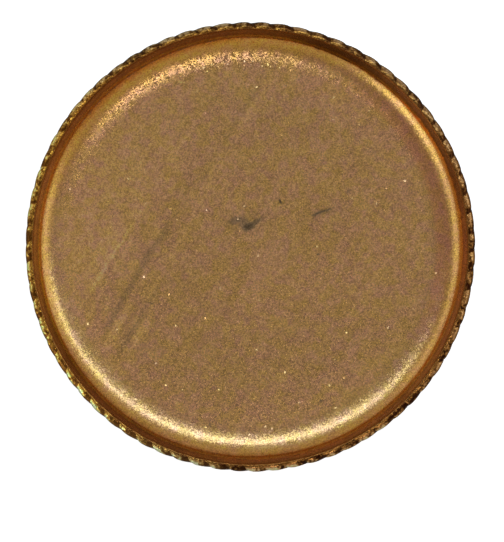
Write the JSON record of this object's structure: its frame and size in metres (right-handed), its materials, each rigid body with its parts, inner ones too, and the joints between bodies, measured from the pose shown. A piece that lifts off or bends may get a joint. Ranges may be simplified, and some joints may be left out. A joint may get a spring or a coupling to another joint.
{
  "type": "bezel cup setting",
  "caption": "Shallow round brass bezel cup with a flat floor, steep wall and rope-edge rim, which holds a flat-backed round stone.",
  "frame": {"origin": "centre of the flat back, on the plane that the cup rests on", "axes": "+Z along the cup's axis, out of its mouth; the cup is round, and one rope groove is centred on the +X side"},
  "size_m": [0.0262, 0.0262, 0.0032],
  "materials": {
    "raw_brass": "raw drawn sheet brass, satin, lightly aged"
  },
  "bodies": {
    "root": {"bezel_cup": "raw_brass"}
  },
  "joints": []
}
